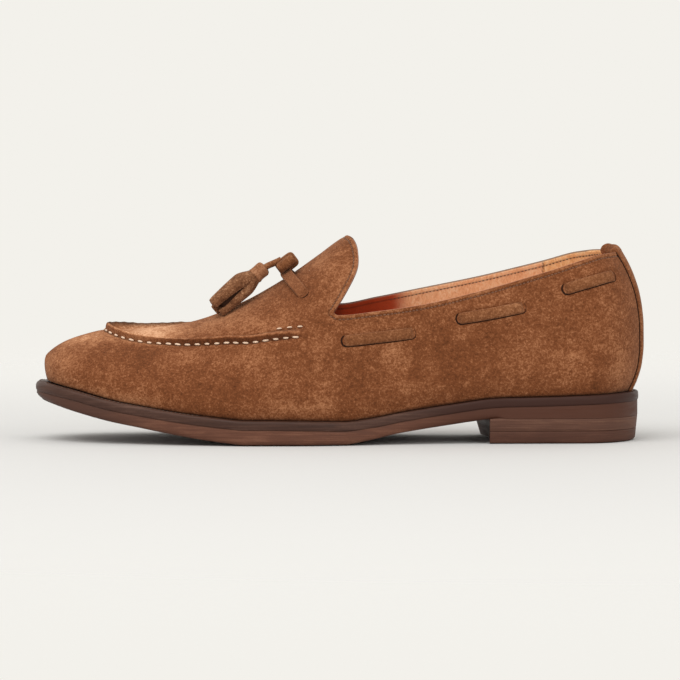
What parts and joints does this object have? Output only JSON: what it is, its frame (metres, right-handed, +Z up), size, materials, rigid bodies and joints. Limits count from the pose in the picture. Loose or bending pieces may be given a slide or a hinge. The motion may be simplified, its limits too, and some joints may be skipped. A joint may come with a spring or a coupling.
{
  "type": "tassel loafer",
  "caption": "Low slip-on shoe in suede with a raised apron seam, a pointed tongue, a thong laced round the collar, tassels and a stacked heel.",
  "frame": {"origin": "on the floor under the middle of the heel", "axes": "+Z up, the toe towards -X, the lateral side of the left foot towards -Y"},
  "size_m": [0.301, 0.1009, 0.1007],
  "materials": {
    "suede": "suede, napped",
    "thong": "suede, napped",
    "lining": "smooth, satin",
    "welt": "stained, satin",
    "sole": "stained edge, satin",
    "heel": "stacked, stained",
    "top_piece": "matt"
  },
  "bodies": {
    "root": {"upper": "suede", "insole": "lining", "welt": "welt", "outsole": "sole", "heel_lift": "heel", "heel_top_piece": "top_piece", "backstay": "suede", "front_strap": "thong", "bow_loops": "thong", "bow_knot": "thong", "collar_thong_lateral_1": "thong", "collar_thong_lateral_2": "thong", "collar_thong_lateral_3": "thong", "thong_end_lateral": "thong", "tassel_lateral": "thong", "collar_thong_medial_1": "thong", "collar_thong_medial_2": "thong", "collar_thong_medial_3": "thong", "thong_end_medial": "thong", "tassel_medial": "thong"}
  },
  "joints": []
}
